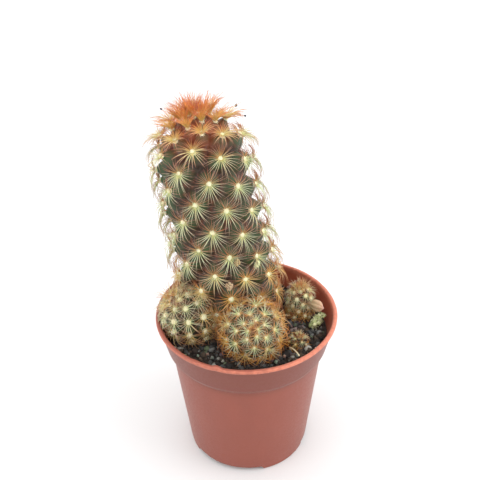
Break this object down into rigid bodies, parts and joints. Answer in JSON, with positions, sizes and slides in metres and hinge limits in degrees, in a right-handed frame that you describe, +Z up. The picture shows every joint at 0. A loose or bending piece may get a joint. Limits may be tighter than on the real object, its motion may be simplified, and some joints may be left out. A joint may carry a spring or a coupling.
{
  "type": "potted cactus",
  "caption": "Small finger-shaped cactus with a leaning column and round offsets at its foot, in a tapered terracotta-coloured plastic nursery pot filled with potting soil.",
  "frame": {"origin": "on the surface that the pot stands on, at the pot's axis, which is the middle of the whole object's box", "axes": "+Z up along the pot's axis, -Y to the front, where the front offset is, and +X to the right; the main stem leans towards -X"},
  "size_m": [0.055, 0.055, 0.1098],
  "materials": {
    "terracotta_plastic": "moulded plastic, semi-matte with a soft sheen, paler on the lip",
    "potting_soil": "rough dark peat with grey and white crumbs",
    "cactus_flesh": "waxy dark green skin, brownish between the tubercles",
    "spines": "fine horn-like needles, cream at the root and amber to rose-brown at the tip",
    "areole_wool": "cream-white felted wool",
    "perlite": "white matte crumbs",
    "bark": "dry grey-brown bark",
    "moss": "pale green dry moss",
    "dry_plant": "dry papery plant remains"
  },
  "bodies": {
    "root": {"pot": "terracotta_plastic", "soil": "potting_soil", "main_stem": "cactus_flesh", "front_offset": "cactus_flesh", "left_offset": "cactus_flesh", "right_offset": "cactus_flesh", "small_offset": "cactus_flesh", "perlite_1": "perlite", "perlite_2": "perlite", "perlite_3": "perlite", "perlite_4": "perlite", "perlite_5": "perlite", "perlite_6": "perlite", "perlite_7": "perlite", "perlite_8": "perlite", "bark_chip": "bark", "moss_tuft": "moss", "dry_husk": "dry_plant", "twig": "bark", "straw": "dry_plant", "flower_remains_1": "dry_plant", "flower_remains_2": "dry_plant", "flower_remains_3": "dry_plant"}
  },
  "joints": []
}
